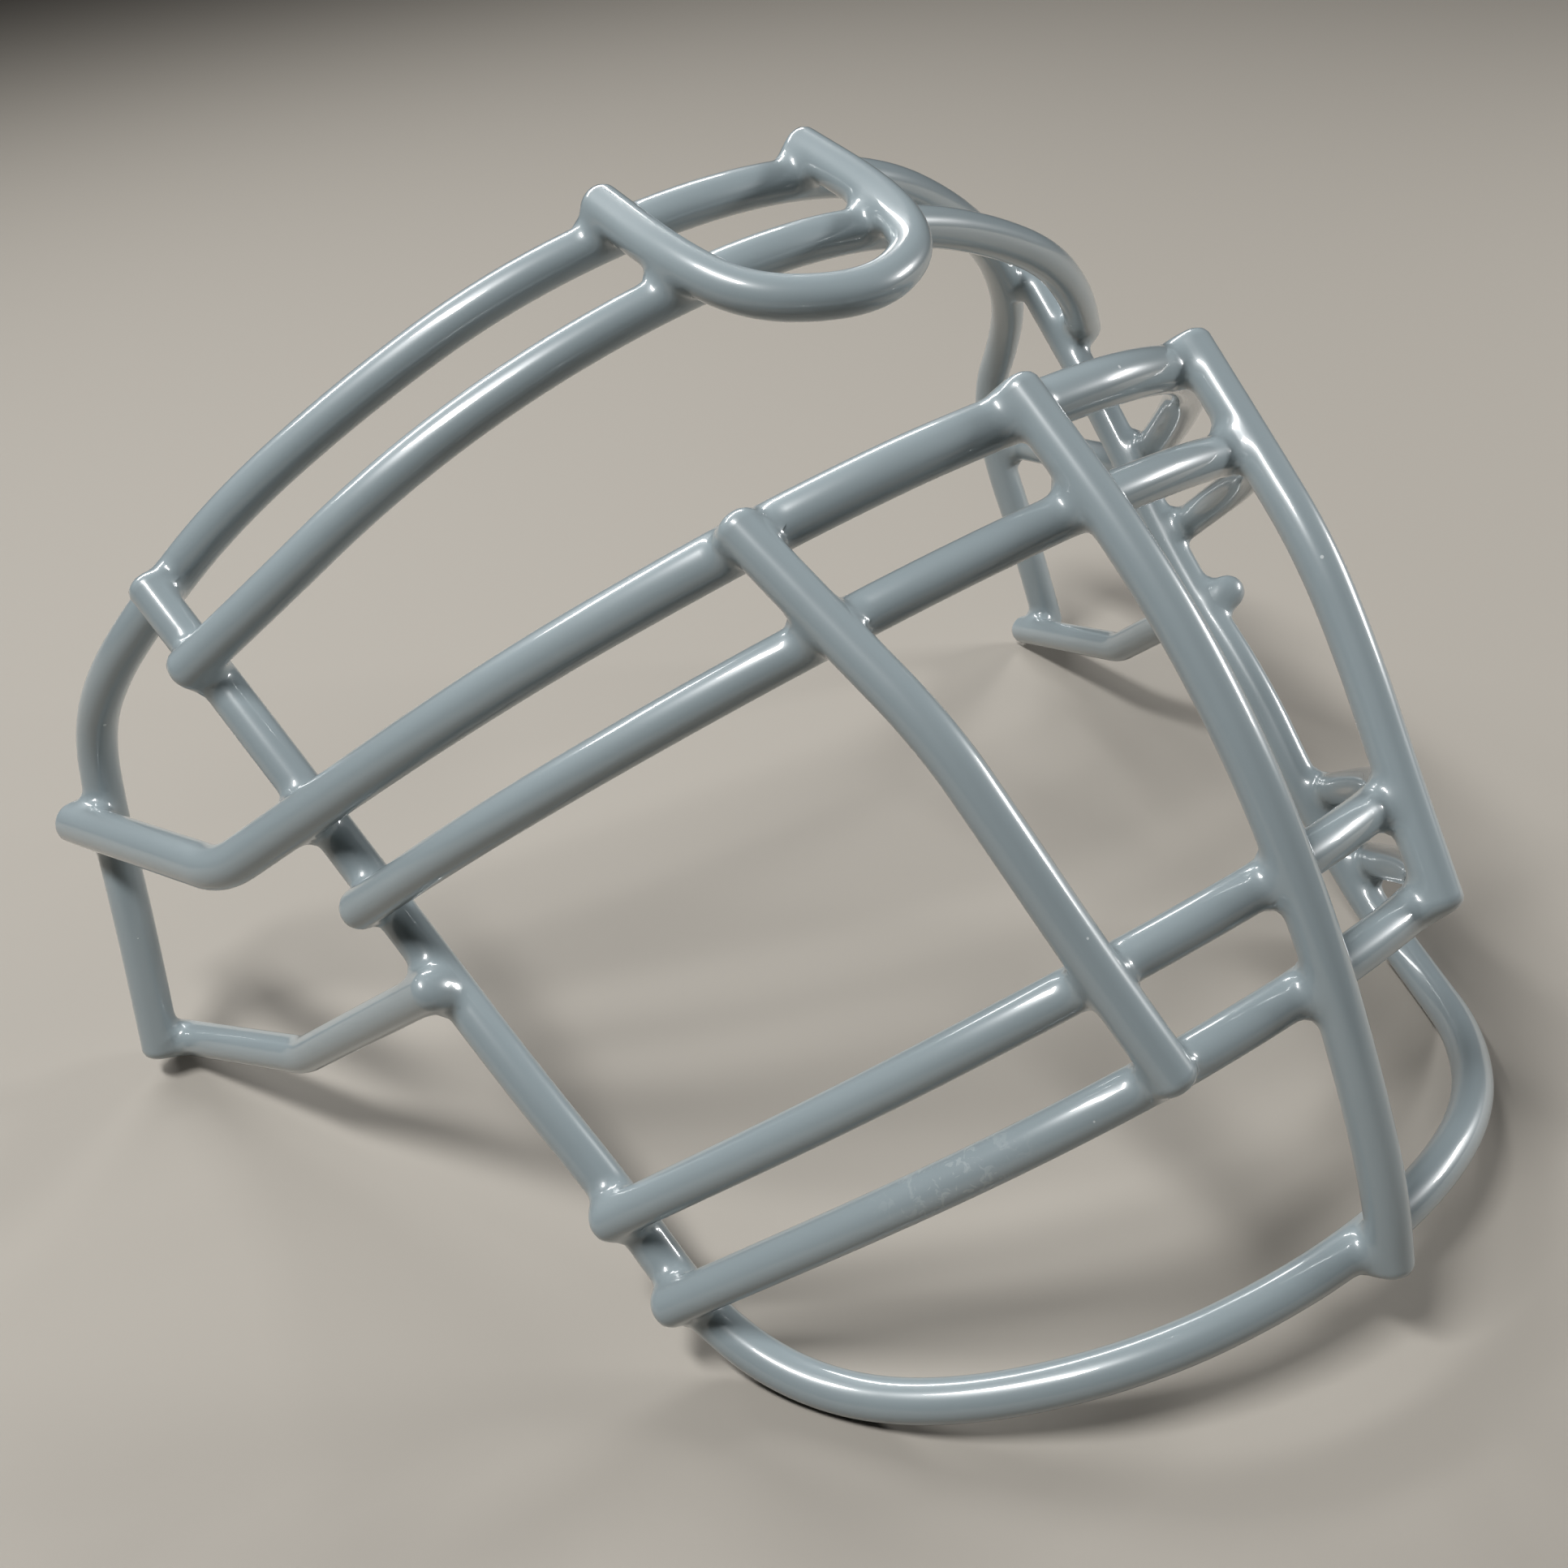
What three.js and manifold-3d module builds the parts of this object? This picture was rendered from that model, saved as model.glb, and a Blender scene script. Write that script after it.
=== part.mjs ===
// Wire face cage for a sports mask: thirteen bent steel rods, cross-welded where they meet
// and dipped in soft vinyl. Each rod is one solid and its vinyl coat is another, cut away
// where the next rod is welded on.
//
// Millimetres, +Z up. The cage lies as it rests on a table, on its chin and its ear ends,
// with its front towards -Y. X = 0 is its plane of symmetry, and the wearer's left is +X.

import * as THREE from 'three';
import { mergeVertices } from 'three/addons/utils/BufferGeometryUtils.js';
import Module from 'manifold-3d';

const wasm = await Module();
wasm.setup();

// ---- driving dimensions ----

const STEEL_RADIUS = 2.8; // 5.6 mm round rod
const BORE_GAP = 0.15; // between a rod and the bore of its coat
const WELD_GAP = 0.3; // between two solids where one is cut to let the other pass
const TIGHT_BEND = 20; // centreline radius of a bend made over a pin
const END_BEAD = 3; // vinyl beyond the end of a rod

// From the origin of the bend points to the middle of the cage's footprint on the table.
const FOOTPRINT = new THREE.Vector3(0, 1.86, -0.194);

// Vinyl thickness. The cage hangs brow down as the dip drains, so the brow builds most.
const EYE_BAR_VINYL = 1.2;
const BROW_VINYL = 0.9;
const FACE_VINYL = 0.7;

const SIDES = 8; // flats round a rod
const LONGEST_STEP = 45; // from one ring to the next along a gentle curve
const LARGEST_TURN = THREE.MathUtils.degToRad(27);
const DOME_RINGS = 2; // between a coat's full width and its rounded tip

// ---- the wires ----

// `half` runs from the middle of a wire to its +X end, and the other half is its mirror
// image. `run` is a whole wire. A wire sweeps smoothly past each point of its run, as a
// rolled rod does, and only the points in `pins` are tight bends. `over` names the wires
// that it is welded on top of.
const wires = [
  {
    name: 'forehead_hoop',
    vinyl: BROW_VINYL,
    over: ['left_jaw_wire', 'right_jaw_wire'],
    half: [
      [14, 45.5, 153], [41.5, 52, 146], [66.5, 61.5, 132.5], [87.5, 72, 117], [102, 82.5, 100],
      [110, 93.5, 85], [113, 103, 70], [115, 103, 53], [118, 97, 31.5], [122, 92, 4.5],
    ],
  },
  {
    name: 'brow_bar',
    vinyl: BROW_VINYL,
    over: ['chin_loop'],
    half: [
      [11.5, 26, 148], [34.5, 31, 142.5], [56, 37, 134], [75, 42, 124], [91, 50.5, 110.5],
      [105.5, 62.5, 96],
    ],
  },
  {
    name: 'crown_loop',
    vinyl: BROW_VINYL,
    over: ['forehead_hoop', 'brow_bar'],
    half: [[5.5, 5, 145.5], [17, 12.5, 147], [21.5, 25.5, 151], [21, 49.5, 157]],
  },
  {
    name: 'chin_loop',
    vinyl: FACE_VINYL,
    over: ['forehead_hoop'],
    half: [
      [13.5, -102.5, 17.5], [40, -94.5, 13.5], [62, -77.5, 6.5], [74.5, -59, 2.5],
      [81.5, -39.5, 7.5], [84, -21.5, 23], [88.5, -3, 40], [91.5, 21, 57], [97, 46, 81.5],
      [102.5, 78.5, 108],
    ],
  },
  {
    name: 'upper_eye_bar',
    vinyl: EYE_BAR_VINYL,
    over: ['forehead_hoop', 'chin_loop'],
    half: [
      [7.5, -27.5, 132.5], [24, -26.5, 131.5], [47.5, -17.5, 124], [77.5, 6, 104.5],
      [111, 51, 65], [121, 107, 53.5],
    ],
    pins: [4],
  },
  {
    name: 'lower_eye_bar',
    vinyl: FACE_VINYL,
    over: ['chin_loop'],
    half: [[19, -41, 121.5], [55.5, -28, 110], [85, -4.5, 89.5], [99, 26.5, 63]],
  },
  {
    name: 'upper_mouth_bar',
    vinyl: FACE_VINYL,
    over: ['chin_loop'],
    half: [[13, -80.5, 75], [38, -73.5, 69], [62, -54.5, 51], [89.5, -22.5, 22]],
  },
  {
    name: 'lower_mouth_bar',
    vinyl: FACE_VINYL,
    over: ['chin_loop'],
    half: [[11.5, -88.5, 59.5], [34.5, -85, 57], [58, -67.5, 40.5], [88, -35.5, 12]],
  },
  {
    name: 'centre_upright',
    vinyl: FACE_VINYL,
    over: ['upper_eye_bar', 'lower_eye_bar', 'upper_mouth_bar', 'lower_mouth_bar', 'chin_loop'],
    run: [
      [0, -27.5, 138.5], [0, -55.5, 117], [0, -75.5, 94], [0, -89.5, 69.5], [0, -98.8, 48],
      [0, -105.2, 29.5], [0, -107.9, 14.5],
    ],
  },
];

const sideUpright = [
  [47, -19, 130], [43, -38, 116.5], [39.5, -53.5, 105.5], [37, -65, 92], [33.5, -77, 76],
  [29.3, -91, 58.5],
];
const jawWire = [[118, 99, 3.5], [106, 52, 20.5], [94.5, 8.5, 55.5]];
const mirror = ([x, y, z]) => [-x, y, z];

for (const [side, place] of [['left', (run) => run], ['right', (run) => run.map(mirror)]]) {
  wires.push({
    name: `${side}_upright`,
    vinyl: FACE_VINYL,
    over: ['upper_eye_bar', 'lower_eye_bar', 'upper_mouth_bar', 'lower_mouth_bar'],
    run: place(sideUpright),
  });
  wires.push({
    name: `${side}_jaw_wire`,
    vinyl: FACE_VINYL,
    over: ['chin_loop'],
    run: place(jawWire),
    pins: [1],
  });
}

// ---- bending a wire ----

// The centreline: straight from one point of the run towards the next, with a sweep that
// starts and ends half-way along the straights, or a tight arc round a pin.
function centreline(wire) {
  const mirrored = wire.half ? wire.half.map(mirror).reverse() : [];
  const run = [...mirrored, ...(wire.half ?? wire.run)];
  const points = run.map((place) => new THREE.Vector3(...place).add(FOOTPRINT));
  const pins = new Set();
  for (const pin of wire.pins ?? []) {
    pins.add(mirrored.length + pin);
    if (wire.half) pins.add(mirrored.length - 1 - pin);
  }
  const path = new THREE.CurvePath();
  let from = points[0];
  const goTo = (point) => {
    if (point.distanceTo(from) > 1e-6) path.add(new THREE.LineCurve3(from, point));
  };
  for (let i = 1; i < points.length - 1; i += 1) {
    const [before, bend, after] = points.slice(i - 1, i + 2);
    const backwards = before.clone().sub(bend);
    const onwards = after.clone().sub(bend);
    const turn = Math.PI - backwards.angleTo(onwards);
    const isPin = pins.has(i);
    const reach = (leg) => (isPin ? TIGHT_BEND * Math.tan(turn / 2) : leg.length() / 2);
    const start = bend.clone().addScaledVector(backwards.clone().normalize(), reach(backwards));
    const end = bend.clone().addScaledVector(onwards.clone().normalize(), reach(onwards));
    goTo(start);
    path.add(new THREE.QuadraticBezierCurve3(start, bend, end));
    from = end;
  }
  goTo(points.at(-1));
  return path;
}

// Stations along the centreline, close together where it turns. Each holds a place and
// two directions across the rod, carried along without twisting.
function stations(path) {
  const list = [];
  let across = null;
  let lastTangent = null;
  for (const curve of path.curves) {
    const turn = curve.getTangent(0).angleTo(curve.getTangent(1));
    const steps = Math.ceil(Math.max(turn / LARGEST_TURN, curve.getLength() / LONGEST_STEP));
    const first = list.length ? 1 : 0;
    for (let step = first; step <= steps; step += 1) {
      const tangent = curve.getTangent(step / steps);
      if (across) {
        across.applyQuaternion(new THREE.Quaternion().setFromUnitVectors(lastTangent, tangent));
      } else {
        across = new THREE.Vector3(1, 0, 0).cross(tangent).normalize();
      }
      lastTangent = tangent;
      list.push({ place: curve.getPoint(step / steps), tangent, across: across.clone() });
    }
  }
  return list;
}

// ---- solids ----

const toManifold = (points, faces) => {
  const geometry = new THREE.BufferGeometry();
  geometry.setAttribute('position', new THREE.Float32BufferAttribute(points, 3));
  geometry.setIndex(faces);
  const merged = mergeVertices(geometry, 1e-4);
  return new wasm.Manifold(new wasm.Mesh({
    numProp: 3,
    vertProperties: new Float32Array(merged.attributes.position.array),
    triVerts: new Uint32Array(merged.index.array),
  }));
};

// A closed round rod on a list of stations. Its ends stop `setback` short of the wire's
// own ends, and are flat or domed.
function rod(list, radius, setback, domed) {
  const rings = [];
  const ring = (station, slide, ringRadius) => {
    const up = new THREE.Vector3().crossVectors(station.tangent, station.across);
    const centre = station.place.clone().addScaledVector(station.tangent, slide);
    rings.push(Array.from({ length: SIDES }, (_, side) => {
      const angle = (2 * Math.PI * side) / SIDES;
      return centre.clone()
        .addScaledVector(station.across, ringRadius * Math.cos(angle))
        .addScaledVector(up, ringRadius * Math.sin(angle));
    }));
  };
  const endRings = (station, inwards) => {
    const quarter = domed ? DOME_RINGS + 1 : 1;
    const dome = [];
    for (let step = 1; step <= quarter; step += 1) {
      const angle = (Math.PI / 2) * (step / quarter);
      const depth = domed ? radius * (1 - Math.cos(angle)) : 0;
      dome.push([inwards * (setback + depth), radius * Math.sin(angle)]);
    }
    if (inwards < 0) dome.reverse();
    for (const [slide, ringRadius] of dome) ring(station, slide, ringRadius);
  };
  const [first, last] = [list[0], list.at(-1)];
  endRings(first, 1);
  for (const station of list.slice(1, -1)) ring(station, 0, radius);
  endRings(last, -1);

  const points = rings.flat();
  const tips = [first, last].map((station, end) => (
    station.place.clone().addScaledVector(station.tangent, end ? -setback : setback)
  ));
  points.push(...tips);
  const faces = [];
  const firstTip = points.length - 2;
  const lastRing = (rings.length - 1) * SIDES;
  for (let side = 0; side < SIDES; side += 1) {
    const next = (side + 1) % SIDES;
    faces.push(firstTip, next, side);
    faces.push(firstTip + 1, lastRing + side, lastRing + next);
    for (let base = 0; base < lastRing; base += SIDES) {
      faces.push(base + side, base + next, base + SIDES + next);
      faces.push(base + side, base + SIDES + next, base + SIDES + side);
    }
  }
  return toManifold(points.flatMap((p) => [p.x, p.y, p.z]), faces);
}

for (const wire of wires) {
  const list = stations(centreline(wire));
  const skinRadius = STEEL_RADIUS + wire.vinyl;
  wire.steel = rod(list, STEEL_RADIUS, END_BEAD, false);
  wire.steelRoom = rod(list, STEEL_RADIUS + WELD_GAP, END_BEAD - WELD_GAP, false);
  wire.bore = rod(list, STEEL_RADIUS + BORE_GAP, END_BEAD - BORE_GAP, false);
  wire.skin = rod(list, skinRadius, 0, true);
  wire.skinRoom = rod(list, skinRadius + WELD_GAP, -WELD_GAP, true);
}

const named = (name) => wires.find((wire) => wire.name === name);
const cut = (solid, tools) => tools.reduce((left, tool) => left.subtract(tool), solid);

// ---- the assembly ----

const steel = { color: 0x8b8f94, roughness: 0.4, metalness: 1 };
const vinyl = { color: 0x7f8a93, roughness: 0.25, metalness: 0 };
const cage = new THREE.Group();

function addNode(name, solid, finish) {
  const { vertProperties, triVerts } = solid.getMesh();
  const geometry = new THREE.BufferGeometry();
  geometry.setAttribute('position', new THREE.BufferAttribute(vertProperties, 3));
  geometry.setIndex(new THREE.BufferAttribute(triVerts, 1));
  geometry.computeVertexNormals();
  const mesh = new THREE.Mesh(geometry, new THREE.MeshStandardMaterial(finish));
  mesh.name = name;
  cage.add(mesh);
}

for (const wire of wires) {
  const below = wire.over.map(named);
  const above = wires.filter((other) => other.over.includes(wire.name));
  const rodSolid = cut(wire.steel, above.map((other) => other.steelRoom));
  const coatTools = [
    wire.bore,
    ...above.map((other) => other.skinRoom),
    ...below.map((other) => other.steelRoom),
  ];
  addNode(`${wire.name}_steel`, rodSolid, steel);
  addNode(`${wire.name}_coat`, cut(wire.skin, coatTools), vinyl);
}

export default cage;
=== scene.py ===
import math

import bpy
import numpy as np
from mathutils import Matrix, Vector
from mathutils.geometry import interpolate_bezier


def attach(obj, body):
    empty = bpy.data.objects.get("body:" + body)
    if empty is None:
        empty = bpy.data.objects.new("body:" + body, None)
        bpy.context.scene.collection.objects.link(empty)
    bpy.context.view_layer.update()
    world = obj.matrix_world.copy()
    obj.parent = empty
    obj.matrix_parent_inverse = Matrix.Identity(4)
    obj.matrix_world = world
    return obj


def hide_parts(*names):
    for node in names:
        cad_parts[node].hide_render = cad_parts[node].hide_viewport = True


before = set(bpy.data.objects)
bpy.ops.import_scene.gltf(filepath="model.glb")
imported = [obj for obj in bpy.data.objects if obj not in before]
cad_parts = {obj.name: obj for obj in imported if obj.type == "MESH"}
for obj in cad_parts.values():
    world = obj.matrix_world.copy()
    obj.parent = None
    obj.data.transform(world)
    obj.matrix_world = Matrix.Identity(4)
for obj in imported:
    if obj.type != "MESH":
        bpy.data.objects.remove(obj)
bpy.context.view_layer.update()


# ---- forehead hoop ----
# The first wire to be bent: 5.6 mm mild steel rod, from ear to ear over the forehead. It is
# rolled to shape, then cross-welded on top of both jaw wires, and the whole cage is dipped
# in vinyl. The bend points, in millimetres, and the camera's values in the last section are the
# result of a least-squares program, scaled, mostly rounded to 0.5 mm, and in places adjusted.

MM = 0.001
STEEL_RADIUS = 2.8 * MM
END_BEAD = 3 * MM  # vinyl beyond the end of a rod
TIP_DEPTH = 2.3 * MM  # a coat's end is rounded over this much of its length
CUT_DEPTH = 0.6 * MM  # and a rod's, where the saw's burr was filed off
TIGHT_BEND = 20 * MM  # a bend over a pin starts and ends where an arc of this radius would
BROW_VINYL = 0.9 * MM
FOOTPRINT = Vector((0, 1.86, -0.194)) * MM  # the bend points' origin to the footprint's middle
RING_SPACING = 0.55 * MM
SIDES = 32
WELD_OF_RINGS = 0.01 * MM  # rings closer than this at a wire's very tip become one point
TRACE_STEP = 1 * MM  # between the points that trace a centreline
SAME_PLACE = 0.001 * MM

wires = {}


def linear(hex_colour):
    """A linear RGBA colour from an sRGB hex value."""
    channels = [int(hex_colour[i:i + 2], 16) / 255 for i in (1, 3, 5)]
    return (*[c / 12.92 if c <= 0.04045 else ((c + 0.055) / 1.055) ** 2.4 for c in channels], 1)


def add(tree, kind, inputs=None, **settings):
    """A node with its settings, and its inputs set to values or linked to sockets."""
    node = tree.nodes.new(kind)
    for name, value in settings.items():
        setattr(node, name, value)
    for name, value in (inputs or {}).items():
        if isinstance(value, bpy.types.NodeSocket):
            tree.links.new(value, node.inputs[name])
        else:
            node.inputs[name].default_value = value
    return node


def mill_steel():
    """Drawn mild steel rod, a dull grey metal. The vinyl hides all of it."""
    material = bpy.data.materials.new("drawn mild steel")
    material.use_nodes = True
    shader = material.node_tree.nodes["Principled BSDF"]
    shader.inputs["Base Color"].default_value = linear("#8f9194")
    shader.inputs["Metallic"].default_value = 1.0
    shader.inputs["Roughness"].default_value = 0.42
    return material


def dipped_vinyl():
    """Plastisol, cured in the oven: soft PVC with a wet-looking skin over a duller body, so a
    light shows as a crisp line inside a soft glow. It has long shallow runs from draining."""
    material = bpy.data.materials.new("dipped vinyl, blue-grey")
    material.use_nodes = True
    tree = material.node_tree
    shader = tree.nodes["Principled BSDF"]
    where = add(tree, "ShaderNodeTexCoord").outputs["Object"]

    # Runs are about 14 mm long.
    runs = add(tree, "ShaderNodeTexNoise", {
        "Vector": where, "Scale": 1 / (14 * MM), "Detail": 1.0})
    flow = add(tree, "ShaderNodeBump", {
        "Height": runs.outputs["Fac"], "Distance": 0.4 * MM, "Strength": 0.2})
    tree.links.new(flow.outputs["Normal"], shader.inputs["Normal"])

    # Handling leaves some stretches, about 30 mm long, a little duller than others.
    worn = add(tree, "ShaderNodeTexNoise", {
        "Vector": where, "Scale": 1 / (30 * MM), "Detail": 3.0})
    gloss = add(tree, "ShaderNodeMapRange", {
        "Value": worn.outputs["Fac"], "From Min": 0.35, "From Max": 0.7,
        "To Min": 0.3, "To Max": 0.36})
    tree.links.new(gloss.outputs["Result"], shader.inputs["Roughness"])

    # Dust specks, about half a millimetre across and a centimetre or so apart.
    specks = add(tree, "ShaderNodeTexVoronoi", {"Vector": where, "Scale": 1 / (11 * MM)})
    speck = add(tree, "ShaderNodeMath", {0: specks.outputs["Distance"], 1: 0.028},
                operation="LESS_THAN")
    dusty = add(tree, "ShaderNodeMix", {
        0: speck.outputs[0], 6: linear("#848f93"), 7: linear("#b9bfc1")}, data_type="RGBA")

    # The right end of the lower mouth bar is scuffed pale for about three centimetres, in
    # scratches half a millimetre wide.
    scuffed_at = Vector((-54, -70, 44.5)) * MM + FOOTPRINT
    off = add(tree, "ShaderNodeVectorMath", {0: where, 1: scuffed_at}, operation="DISTANCE")
    near = add(tree, "ShaderNodeMapRange", {
        "Value": off.outputs["Value"], "From Min": 4 * MM, "From Max": 15 * MM,
        "To Min": 1.0, "To Max": 0.0})
    rubs = add(tree, "ShaderNodeTexNoise", {
        "Vector": where, "Scale": 1 / (2 * MM), "Detail": 4.0, "Distortion": 1.5})
    scratch = add(tree, "ShaderNodeMapRange", {
        "Value": rubs.outputs["Fac"], "From Min": 0.56, "From Max": 0.62, "To Max": 0.3})
    scuff = add(tree, "ShaderNodeMath", {
        0: near.outputs["Result"], 1: scratch.outputs["Result"]}, operation="MULTIPLY")
    colour = add(tree, "ShaderNodeMix", {
        0: scuff.outputs[0], 6: dusty.outputs[2], 7: linear("#b3b9ba")}, data_type="RGBA")
    tree.links.new(colour.outputs[2], shader.inputs["Base Color"])
    shader.inputs["Coat Weight"].default_value = 1.0
    shader.inputs["Coat Roughness"].default_value = 0.06
    shader.inputs["IOR"].default_value = 1.53
    return material


def sweep_tree():
    """A tree that sweeps a round section along a bent centreline and rounds off both ends."""
    tree = bpy.data.node_groups.new("swept wire", "GeometryNodeTree")
    sockets = [
        ("Centreline", "NodeSocketObject"), ("Radius", "NodeSocketFloat"),
        ("Tip Depth", "NodeSocketFloat"), ("End Setback", "NodeSocketFloat"),
        ("Ring Spacing", "NodeSocketFloat"), ("Sides", "NodeSocketInt"),
        ("Finish", "NodeSocketMaterial"),
    ]
    for name, kind in sockets:
        tree.interface.new_socket(name, in_out="INPUT", socket_type=kind)
    tree.interface.new_socket("Geometry", in_out="OUTPUT", socket_type="NodeSocketGeometry")
    given = add(tree, "NodeGroupInput").outputs

    def sum_of(operation, *values):
        return add(tree, "ShaderNodeMath", dict(enumerate(values)), operation=operation).outputs[0]

    line = add(tree, "GeometryNodeObjectInfo", {"Object": given["Centreline"]})
    length = add(tree, "GeometryNodeSplineLength").outputs["Length"]
    trimmed = add(tree, "GeometryNodeTrimCurve", {
        "Curve": line.outputs["Geometry"]}, mode="LENGTH")
    tree.links.new(given["End Setback"], trimmed.inputs[4])
    tree.links.new(sum_of("SUBTRACT", length, given["End Setback"]), trimmed.inputs[5])
    rings = add(tree, "GeometryNodeResampleCurve", {
        "Curve": trimmed.outputs["Curve"], "Length": given["Ring Spacing"]}, mode="LENGTH")

    # Near an end the rings close up and shrink, as a quarter circle does.
    along = add(tree, "GeometryNodeSplineParameter").outputs["Length"]
    total = add(tree, "GeometryNodeSplineLength").outputs["Length"]
    from_end = sum_of("MINIMUM", along, sum_of("SUBTRACT", total, along))
    share = sum_of("MINIMUM", sum_of("DIVIDE", from_end, given["Tip Depth"]), 1.0)
    angle = sum_of("MULTIPLY", share, math.pi / 2)
    dome = sum_of("MULTIPLY", given["Tip Depth"],
                  sum_of("SUBTRACT", sum_of("SUBTRACT", 1.0, sum_of("COSINE", angle)), share))
    place = sum_of("ADD", from_end, dome)
    in_first_half = sum_of("LESS_THAN", along, sum_of("MULTIPLY", total, 0.5))
    other_way = sum_of("SUBTRACT", total, place)
    station = add(tree, "ShaderNodeMix", {
        "Factor": in_first_half, "A": other_way, "B": place})
    on_line = add(tree, "GeometryNodeSampleCurve", {
        "Curves": trimmed.outputs["Curve"], "Length": station.outputs["Result"]}, mode="LENGTH")
    scale = sum_of("SINE", angle)
    kept = add(tree, "GeometryNodeCaptureAttribute", {"Geometry": rings.outputs["Curve"]})
    kept.capture_items.new("FLOAT", "Scale")
    tree.links.new(scale, kept.inputs["Scale"])
    moved = add(tree, "GeometryNodeSetPosition", {
        "Geometry": kept.outputs["Geometry"], "Position": on_line.outputs["Position"]})
    section = add(tree, "GeometryNodeCurvePrimitiveCircle", {
        "Resolution": given["Sides"], "Radius": given["Radius"]})
    tube = add(tree, "GeometryNodeCurveToMesh", {
        "Curve": moved.outputs["Geometry"], "Profile Curve": section.outputs["Curve"],
        "Scale": kept.outputs["Scale"]})
    closed = add(tree, "GeometryNodeMergeByDistance", {
        "Geometry": tube.outputs["Mesh"], "Distance": WELD_OF_RINGS})
    smooth = add(tree, "GeometryNodeSetShadeSmooth", {"Geometry": closed.outputs["Geometry"]})
    real = add(tree, "GeometryNodeRealizeInstances", {"Geometry": smooth.outputs["Geometry"]})
    finished = add(tree, "GeometryNodeSetMaterial", {
        "Geometry": real.outputs["Geometry"], "Material": given["Finish"]})
    add(tree, "NodeGroupOutput", {"Geometry": finished.outputs["Geometry"]})
    return tree


STEEL = mill_steel()
VINYL = dipped_vinyl()
SWEEP = sweep_tree()


def whole(half):
    """A symmetrical wire's run from end to end, from the half on the wearer's left."""
    return [(-x, y, z) for x, y, z in reversed(half)] + half


def bend(name, run, pins):
    """The centreline through a run of bend points, as a curve, and points every millimetre on
    it. A gentle bend sweeps from the middle of one straight to the middle of the next."""
    points = [Vector(place) * MM + FOOTPRINT for place in run]
    knots = [[points[0], points[0], points[0]]]
    for i in range(1, len(points) - 1):
        corner = points[i]
        legs = [points[i - 1] - corner, points[i + 1] - corner]
        turn = math.pi - legs[0].angle(legs[1])
        ends = []
        for leg in legs:
            reach = TIGHT_BEND * math.tan(turn / 2) if i in pins else leg.length / 2
            ends.append(corner + leg.normalized() * reach)
        start, end = ends
        if (start - knots[-1][1]).length > SAME_PLACE:
            knots[-1][2] = knots[-1][1].lerp(start, 1 / 3)
            knots.append([start.lerp(knots[-1][1], 1 / 3), start, start])
        knots[-1][2] = start.lerp(corner, 2 / 3)
        knots.append([end.lerp(corner, 2 / 3), end, end])
    tip = points[-1]
    knots[-1][2] = knots[-1][1].lerp(tip, 1 / 3)
    knots.append([tip.lerp(knots[-1][1], 1 / 3), tip, tip])

    curve = bpy.data.curves.new(name + "_centreline", "CURVE")
    curve.dimensions = "3D"
    curve.resolution_u = 64
    spline = curve.splines.new("BEZIER")
    spline.bezier_points.add(len(knots) - 1)
    for point, (before, place, after) in zip(spline.bezier_points, knots):
        point.handle_left_type = point.handle_right_type = "FREE"
        point.co = place
        point.handle_left = before
        point.handle_right = after
    line = bpy.data.objects.new(curve.name, curve)
    bpy.context.collection.objects.link(line)

    traced = []
    for a, b in zip(knots, knots[1:]):
        steps = max(2, math.ceil((b[1] - a[1]).length / TRACE_STEP))
        traced += interpolate_bezier(a[1], a[2], b[0], b[1], steps + 1)[:-1]
    traced.append(tip)
    return line, np.array(traced)


def sweep(name, line, finish, radius, tip_depth, setback):
    """A plain mesh of a round section swept along a centreline."""
    piece = bpy.data.objects.new(name, bpy.data.meshes.new(name))
    bpy.context.collection.objects.link(piece)
    modifier = piece.modifiers.new("sweep", "NODES")
    modifier.node_group = SWEEP
    values = {"Centreline": line, "Radius": radius, "Tip Depth": tip_depth,
              "End Setback": setback, "Ring Spacing": RING_SPACING, "Sides": SIDES,
              "Finish": finish}
    for socket in SWEEP.interface.items_tree:
        if socket.name in values:
            modifier[socket.identifier] = values[socket.name]
    graph = bpy.context.evaluated_depsgraph_get()
    piece.data = bpy.data.meshes.new_from_object(piece.evaluated_get(graph))
    piece.data.name = name
    piece.modifiers.clear()
    return piece


def make_wire(name, run, vinyl, pins=()):
    """A bent rod and its coat, each in place of its own solid."""
    line, traced = bend(name, run, pins)
    radius = STEEL_RADIUS + vinyl
    rod = sweep(name + "_rod", line, STEEL, STEEL_RADIUS, CUT_DEPTH, END_BEAD)
    coat = sweep(name + "_dip", line, VINYL, radius, TIP_DEPTH, 0.0)
    bpy.data.objects.remove(line)
    for piece, kind, slot in ((rod, "_steel", "steel_rod"), (coat, "_coat", "vinyl_coat")):
        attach(piece, "root")
        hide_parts(name + kind)
    wires[name] = {"coat": coat, "radius": radius, "traced": traced}


make_wire("forehead_hoop", whole([
    (14, 45.5, 153), (41.5, 52, 146), (66.5, 61.5, 132.5), (87.5, 72, 117), (102, 82.5, 100),
    (110, 93.5, 85), (113, 103, 70), (115, 103, 53), (118, 97, 31.5), (122, 92, 4.5),
]), BROW_VINYL)


# ---- brow bar ----
# A second rod in front of the hoop and below it, so that nothing can strike the forehead
# between the two. It is rolled steel, welded across the side rails at both ends.

make_wire("brow_bar", whole([
    (11.5, 26, 148), (34.5, 31, 142.5), (56, 37, 134), (75, 42, 124), (91, 50.5, 110.5),
    (105.5, 62.5, 96),
]), BROW_VINYL)


# ---- crown loop ----
# A short U of the same rod, welded on top of the hoop and the brow bar at the middle. The
# helmet's crown clip closes round it.

make_wire("crown_loop", whole([
    (5.5, 5, 145.5), (17, 12.5, 147), (21.5, 25.5, 151), (21, 49.5, 157),
]), BROW_VINYL)


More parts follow.
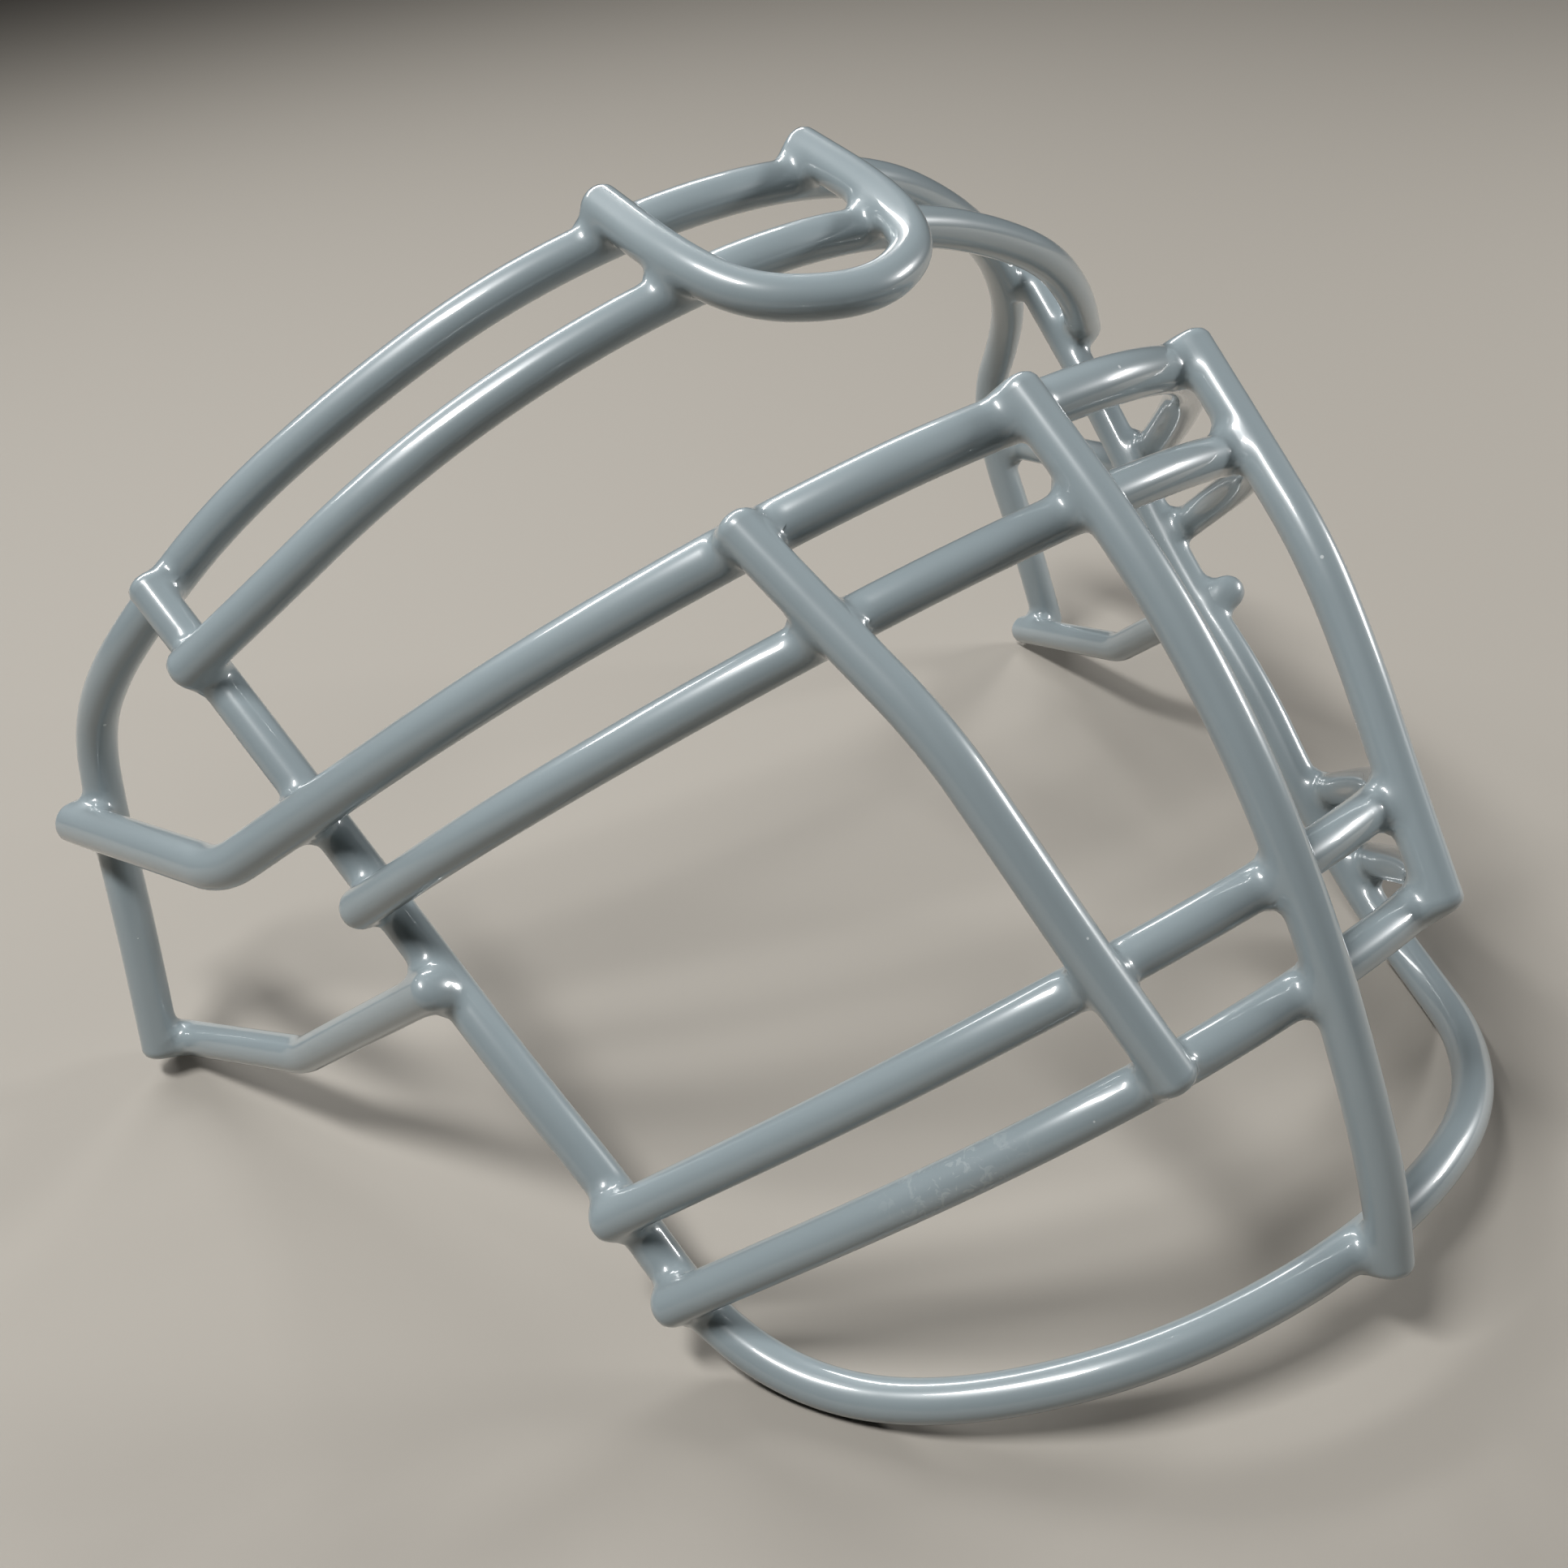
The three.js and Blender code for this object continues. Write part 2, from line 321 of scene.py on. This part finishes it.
# ---- chin loop ----
# One long rod is both side rails and the chin. It goes down one side of the face, round
# under the chin and up the other side, and its ends are welded on top of the hoop.

FACE_VINYL = 0.7 * MM

make_wire("chin_loop", whole([
    (13.5, -102.5, 17.5), (40, -94.5, 13.5), (62, -77.5, 6.5), (74.5, -59, 2.5),
    (81.5, -39.5, 7.5), (84, -21.5, 23), (88.5, -3, 40), (91.5, 21, 57), (97, 46, 81.5),
    (102.5, 78.5, 108),
]), FACE_VINYL)


# ---- upper eye bar ----
# The bar just below the eyes runs on past the rails, turns in a tight bend by each ear and
# ends on the hoop. It came out of the vinyl last, so its coat is the thickest.

EYE_BAR_VINYL = 1.2 * MM

make_wire("upper_eye_bar", whole([
    (7.5, -27.5, 132.5), (24, -26.5, 131.5), (47.5, -17.5, 124), (77.5, 6, 104.5),
    (111, 51, 65), (121, 107, 53.5),
]), EYE_BAR_VINYL, pins=(1, 10))


# ---- lower eye bar ----
# It doubles the upper eye bar a finger's width below, and ends just past the rails.

make_wire("lower_eye_bar", whole([
    (19, -41, 121.5), (55.5, -28, 110), (85, -4.5, 89.5), (99, 26.5, 63),
]), FACE_VINYL)


# ---- mouth bars ----
# Two rods rolled alike cross in front of the mouth, each welded to both side rails and cut
# off a few millimetres past them.

make_wire("upper_mouth_bar", whole([
    (13, -80.5, 75), (38, -73.5, 69), (62, -54.5, 51), (89.5, -22.5, 22),
]), FACE_VINYL)
make_wire("lower_mouth_bar", whole([
    (11.5, -88.5, 59.5), (34.5, -85, 57), (58, -67.5, 40.5), (88, -35.5, 12),
]), FACE_VINYL)


# ---- uprights ----
# Three bowed rods go on last, outside all the bars. The middle one runs from above the eye
# bars to below the chin loop, and the side ones stop on the lower mouth bar.

make_wire("centre_upright", [
    (0, -27.5, 138.5), (0, -55.5, 117), (0, -75.5, 94), (0, -89.5, 69.5), (0, -98.8, 48),
    (0, -105.2, 29.5), (0, -107.9, 14.5),
], FACE_VINYL)
side_upright = [
    (47, -19, 130), (43, -38, 116.5), (39.5, -53.5, 105.5), (37, -65, 92), (33.5, -77, 76),
    (29.3, -91, 58.5),
]
for side, hand in (("left", 1), ("right", -1)):
    make_wire(side + "_upright", [(hand * x, y, z) for x, y, z in side_upright], FACE_VINYL)


# ---- jaw wires ----
# A short rod on each side joins the hoop's lower end to the side rail below the ear, with
# one tight bend. The cage rests on them and on the chin loop.

jaw_wire = [(118, 99, 3.5), (106, 52, 20.5), (94.5, 8.5, 55.5)]
for side, hand in (("left", 1), ("right", -1)):
    make_wire(side + "_jaw_wire", [(hand * x, y, z) for x, y, z in jaw_wire], FACE_VINYL,
              pins=(1,))


# ---- the dip ----
# The hot cage goes into liquid vinyl, which bridges the corner wherever two rods cross and
# sets there as a smooth web. Each coat is drawn out along its own radius to that web.

BRIDGE = 3.6 * MM  # how far from both wires the vinyl still clings to both
WEB_REACH = 3 * MM  # the most a web stands out from a coat
SINK_SLOPE = 0.15  # past the middle of a web, a coat dives below its neighbour's
DEEPEST_SINK = 0.3 * MM
SEARCH = 12 * MM  # a wire farther than this from a stretch of coat can't bridge to it
FAR = 1.0  # metres; the clearance where no other wire is near
STRETCH = 600  # coat vertices that are drawn out at a time
PASSES = 24  # steps by which a coat is drawn out to the web


def shorten(traced, by):
    """A traced centreline with both its ends cut back."""
    steps = np.linalg.norm(np.diff(traced, axis=0), axis=1)
    along = np.concatenate([[0.0], np.cumsum(steps)])
    count = int(along[-1] / TRACE_STEP) + 1
    at = np.linspace(by, along[-1] - by, count)
    return np.stack([np.interp(at, along, traced[:, axis]) for axis in range(3)], axis=1)


def nearest(points, core):
    """The nearest place on a centreline to each of some points."""
    low = points.min(axis=0) - SEARCH
    high = points.max(axis=0) + SEARCH
    inside = np.all((core > low) & (core < high), axis=1)
    near = inside[:-1] | inside[1:]
    if not near.any():
        return None
    start = core[:-1][near]
    leg = core[1:][near] - start
    to_point = points[:, None, :] - start
    share = np.clip((to_point * leg).sum(axis=2) / (leg * leg).sum(axis=1), 0, 1)
    feet = start + share[:, :, None] * leg
    closest = np.argmin(((points[:, None, :] - feet) ** 2).sum(axis=2), axis=1)
    return feet[np.arange(len(points)), closest]


def web(points, height, out, others):
    """How far points lie outside the dipped surface, the way straight out of it, and how
    close the nearest other wire's own coat is. Height and out are for the point's own coat."""
    clearance = np.full(len(points), FAR)
    for other in others:
        foot = nearest(points, other["core"])
        if foot is None:
            continue
        away = points - foot
        distance = np.linalg.norm(away, axis=1)
        gap = distance - other["radius"]
        blend = np.clip(0.5 + 0.5 * (gap - height) / BRIDGE, 0, 1)
        height = gap + (height - gap) * blend - BRIDGE * blend * (1 - blend)
        out = out * blend[:, None] + away / distance[:, None] * (1 - blend)[:, None]
        clearance = np.minimum(clearance, gap)
    return height, out / np.linalg.norm(out, axis=1)[:, None], clearance


for wire in wires.values():
    wire["core"] = shorten(wire["traced"], wire["radius"])

for wire in wires.values():
    mesh = wire["coat"].data
    flat = np.empty(len(mesh.vertices) * 3)
    mesh.vertices.foreach_get("co", flat)
    places = flat.reshape(-1, 3)
    flat_normals = np.empty(len(flat))
    mesh.vertex_normals.foreach_get("vector", flat_normals)
    normals = flat_normals.reshape(-1, 3)
    others = [other for other in wires.values() if other is not wire]
    # The coat is taken a centimetre or so at a time, from one end to the other.
    for start in range(0, len(places), STRETCH):
        part = slice(start, start + STRETCH)
        foot = nearest(places[part], wire["core"])
        out = places[part] - foot
        out /= np.linalg.norm(out, axis=1)[:, None]
        drawn = np.zeros(len(foot))
        for _ in range(PASSES):
            height, _, _ = web(places[part] + out * drawn[:, None], drawn, normals[part], others)
            drawn = np.minimum(drawn - np.minimum(height, 0), WEB_REACH)
        surface = places[part] + out * drawn[:, None]
        _, straight_out, clearance = web(surface, drawn, normals[part], others)
        sink = np.clip((drawn - clearance) * SINK_SLOPE, 0, DEEPEST_SINK)
        places[part] = surface - out * sink[:, None]
        normals[part] = straight_out
    mesh.vertices.foreach_set("co", places.ravel())
    mesh.update()
    mesh.normals_split_custom_set_from_vertices(normals.tolist())


# ---- studio ----
# A pale sheet of backing paper under the cage, one soft light overhead, narrower ones behind
# and at the side, and the camera above the wearer's right eye.

ground = bpy.data.meshes.new("backing_paper")
reach = 3.0
ground.from_pydata(
    [(-reach, -reach, 0), (reach, -reach, 0), (reach, reach, 0), (-reach, reach, 0)],
    [], [(0, 1, 2, 3)])
paper = bpy.data.materials.new("backing paper")
paper.use_nodes = True
matt = paper.node_tree.nodes["Principled BSDF"]
matt.inputs["Base Color"].default_value = linear("#8f8a82")
matt.inputs["Roughness"].default_value = 0.75
ground.materials.append(paper)
floor = bpy.data.objects.new("backing_paper", ground)
bpy.context.collection.objects.link(floor)

world = bpy.data.worlds.new("studio")
world.use_nodes = True
world.node_tree.nodes["Background"].inputs["Color"].default_value = linear("#d9dbde")
world.node_tree.nodes["Background"].inputs["Strength"].default_value = 0.02
bpy.context.scene.world = world


def softbox(name, place, aim, width, depth, watts):
    """A soft rectangular light that faces a place."""
    light = bpy.data.lights.new(name, "AREA")
    light.shape = "RECTANGLE"
    light.size = width
    light.size_y = depth
    light.energy = watts
    lamp = bpy.data.objects.new(name, light)
    lamp.location = place
    lamp.rotation_euler = (Vector(aim) - Vector(place)).to_track_quat("-Z", "Y").to_euler()
    bpy.context.collection.objects.link(lamp)


CAGE_MIDDLE = (0, 0, 0.08)
softbox("overhead", (-0.5, 0, 1.05), CAGE_MIDDLE, 0.45, 0.14, 15)
softbox("behind", (0.1, 0.9, 0.8), CAGE_MIDDLE, 1.2, 0.15, 10)
softbox("side", (0.9, -0.35, 0.35), CAGE_MIDDLE, 0.3, 0.1, 7)
bpy.context.scene.view_settings.view_transform = "Standard"

SENSOR = 36.0
FOCAL_LENGTH = 43.5
ROLL = math.radians(6.06)
eye = Vector((-0.1824, -0.2234, 0.2414))
look = Vector((0.4746, 0.6973, -0.5371))
camera_data = bpy.data.cameras.new("camera")
camera_data.sensor_width = SENSOR
camera_data.lens = FOCAL_LENGTH
camera_data.clip_start = 0.01
camera = bpy.data.objects.new("camera", camera_data)
turned = look.to_track_quat("-Z", "Y").to_matrix().to_4x4() @ Matrix.Rotation(-ROLL, 4, "Z")
camera.matrix_world = Matrix.Translation(eye) @ turned
bpy.context.collection.objects.link(camera)
bpy.context.scene.camera = camera
